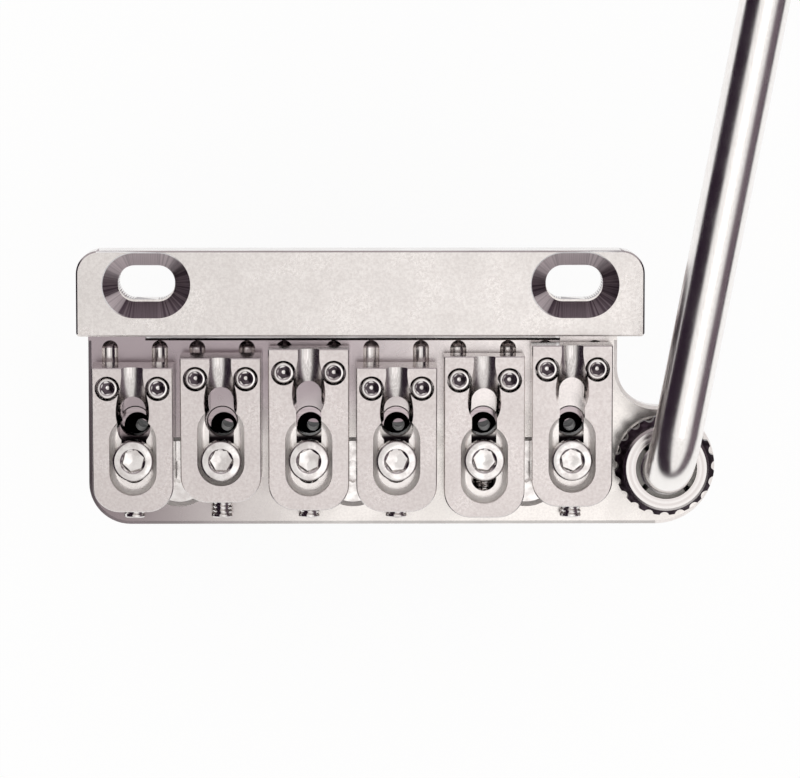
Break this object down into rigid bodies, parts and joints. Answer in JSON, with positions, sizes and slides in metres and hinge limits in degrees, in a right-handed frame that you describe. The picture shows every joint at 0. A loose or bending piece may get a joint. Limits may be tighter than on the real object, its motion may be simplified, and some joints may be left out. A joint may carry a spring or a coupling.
{
  "type": "guitar tremolo bridge",
  "caption": "Steel guitar vibrato bridge: a slotted bar screwed to the top, a hinged plate with adjustable saddles, a string block under it and a swinging bent arm",
  "frame": {"origin": "midway between the two mounting slots, on the bar's underside, which meets the guitar's top", "axes": "+Z out of the guitar's top, +Y towards the neck, +X towards the thin strings and the arm"},
  "size_m": [0.101, 0.1596, 0.0704],
  "materials": {
    "satin_steel": "stainless steel, bead blasted to an even satin, edges polished",
    "polished_steel": "stainless steel, mirror polished",
    "screw_steel": "stainless screw steel, bright turned",
    "block_steel": "milled steel with fine cutter marks",
    "collet_plastic": "turned acetal"
  },
  "bodies": {
    "front_bar": {"front_bar": "satin_steel", "pivot_bearings": "screw_steel"},
    "bridge_plate": {"base_plate": "polished_steel", "pivot_pins": "screw_steel", "tremolo_block": "block_steel", "block_screws": "screw_steel", "clamp_screws": "screw_steel", "arm_socket": "polished_steel", "arm_collet": "collet_plastic"},
    "height_screws_1": {"height_screws_1": "screw_steel"},
    "saddle_1": {"saddle_1": "satin_steel"},
    "intonation_screw_1": {"intonation_screw_1": "screw_steel"},
    "height_screws_2": {"height_screws_2": "screw_steel"},
    "saddle_2": {"saddle_2": "satin_steel"},
    "intonation_screw_2": {"intonation_screw_2": "screw_steel"},
    "height_screws_3": {"height_screws_3": "screw_steel"},
    "saddle_3": {"saddle_3": "satin_steel"},
    "intonation_screw_3": {"intonation_screw_3": "screw_steel"},
    "height_screws_4": {"height_screws_4": "screw_steel"},
    "saddle_4": {"saddle_4": "satin_steel"},
    "intonation_screw_4": {"intonation_screw_4": "screw_steel"},
    "height_screws_5": {"height_screws_5": "screw_steel"},
    "saddle_5": {"saddle_5": "satin_steel"},
    "intonation_screw_5": {"intonation_screw_5": "screw_steel"},
    "height_screws_6": {"height_screws_6": "screw_steel"},
    "saddle_6": {"saddle_6": "satin_steel"},
    "intonation_screw_6": {"intonation_screw_6": "screw_steel"},
    "tension_nut": {"tension_nut": "polished_steel"},
    "tremolo_arm": {"tremolo_arm": "polished_steel"}
  },
  "joints": [
    {"name": "bridge_tilt", "type": "hinge", "parent": "front_bar", "child": "bridge_plate", "pos_m": [0, -0.0045, 0.0036], "axis": [-1, 0, 0], "range_deg": [-5, 12], "stiffness_Nm_per_rad": 5},
    {"name": "intonation_turn_1", "type": "hinge", "parent": "bridge_plate", "child": "intonation_screw_1", "pos_m": [-0.0272, -0.025, 0.00695], "axis": [0, 1, 0], "range_deg": [-874, 1810]},
    {"name": "saddle_slide_1", "type": "slide", "parent": "bridge_plate", "child": "height_screws_1", "axis": [0, 1, 0], "range_m": [-0.0025, 0.0012]},
    {"name": "saddle_height_1", "type": "hinge", "parent": "height_screws_1", "child": "saddle_1", "pos_m": [-0.0272, -0.0263, 0.00573], "axis": [1, 0, 0], "range_deg": [-2, 2]},
    {"name": "intonation_turn_2", "type": "hinge", "parent": "bridge_plate", "child": "intonation_screw_2", "pos_m": [-0.0167, -0.025, 0.00695], "axis": [0, 1, 0], "range_deg": [-10, 2530]},
    {"name": "saddle_slide_2", "type": "slide", "parent": "bridge_plate", "child": "height_screws_2", "axis": [0, 1, 0], "range_m": [-0.0035, 0]},
    {"name": "saddle_height_2", "type": "hinge", "parent": "height_screws_2", "child": "saddle_2", "pos_m": [-0.0167, -0.02515, 0.00573], "axis": [1, 0, 0], "range_deg": [-2, 2]},
    {"name": "intonation_turn_3", "type": "hinge", "parent": "bridge_plate", "child": "intonation_screw_3", "pos_m": [-0.0062, -0.025, 0.00695], "axis": [0, 1, 0], "range_deg": [-154, 1666]},
    {"name": "saddle_slide_3", "type": "slide", "parent": "bridge_plate", "child": "height_screws_3", "axis": [0, 1, 0], "range_m": [-0.0023, 0.0002]},
    {"name": "saddle_height_3", "type": "hinge", "parent": "height_screws_3", "child": "saddle_3", "pos_m": [-0.0062, -0.0264, 0.00573], "axis": [1, 0, 0], "range_deg": [-0.7, 2]},
    {"name": "intonation_turn_4", "type": "hinge", "parent": "bridge_plate", "child": "intonation_screw_4", "pos_m": [0.0043, -0.025, 0.00695], "axis": [0, 1, 0], "range_deg": [-874, 1810]},
    {"name": "saddle_slide_4", "type": "slide", "parent": "bridge_plate", "child": "height_screws_4", "axis": [0, 1, 0], "range_m": [-0.0025, 0.0012]},
    {"name": "saddle_height_4", "type": "hinge", "parent": "height_screws_4", "child": "saddle_4", "pos_m": [0.0043, -0.0263, 0.00573], "axis": [1, 0, 0], "range_deg": [-2, 2]},
    {"name": "intonation_turn_5", "type": "hinge", "parent": "bridge_plate", "child": "intonation_screw_5", "pos_m": [0.0148, -0.025, 0.00695], "axis": [0, 1, 0], "range_deg": [-802, 1018]},
    {"name": "saddle_slide_5", "type": "slide", "parent": "bridge_plate", "child": "height_screws_5", "axis": [0, 1, 0], "range_m": [-0.0014, 0.0011]},
    {"name": "saddle_height_5", "type": "hinge", "parent": "height_screws_5", "child": "saddle_5", "pos_m": [0.0148, -0.0273, 0.00573], "axis": [1, 0, 0], "range_deg": [-0.7, 2]},
    {"name": "intonation_turn_6", "type": "hinge", "parent": "bridge_plate", "child": "intonation_screw_6", "pos_m": [0.0253, -0.025, 0.00695], "axis": [0, 1, 0], "range_deg": [-10, 1954]},
    {"name": "saddle_slide_6", "type": "slide", "parent": "bridge_plate", "child": "height_screws_6", "axis": [0, 1, 0], "range_m": [-0.0027, 0]},
    {"name": "saddle_height_6", "type": "hinge", "parent": "height_screws_6", "child": "saddle_6", "pos_m": [0.0253, -0.026, 0.00573], "axis": [1, 0, 0], "range_deg": [-0.7, 2]},
    {"name": "tension_nut_turn", "type": "hinge", "parent": "bridge_plate", "child": "tension_nut", "pos_m": [0.03635, -0.0216, 0.0119], "axis": [0, 0, 1], "range_deg": [-90, 90]},
    {"name": "arm_swing", "type": "hinge", "parent": "bridge_plate", "child": "tremolo_arm", "pos_m": [0.03635, -0.0216, 0.009], "axis": [0, 0, 1], "continuous": true}
  ],
  "couplings": [
    {"joint": "intonation_turn_1", "follows": "saddle_slide_1", "rad_per_m": -12566},
    {"joint": "intonation_turn_2", "follows": "saddle_slide_2", "rad_per_m": -12566},
    {"joint": "intonation_turn_3", "follows": "saddle_slide_3", "rad_per_m": -12566},
    {"joint": "intonation_turn_4", "follows": "saddle_slide_4", "rad_per_m": -12566},
    {"joint": "intonation_turn_5", "follows": "saddle_slide_5", "rad_per_m": -12566},
    {"joint": "intonation_turn_6", "follows": "saddle_slide_6", "rad_per_m": -12566}
  ]
}
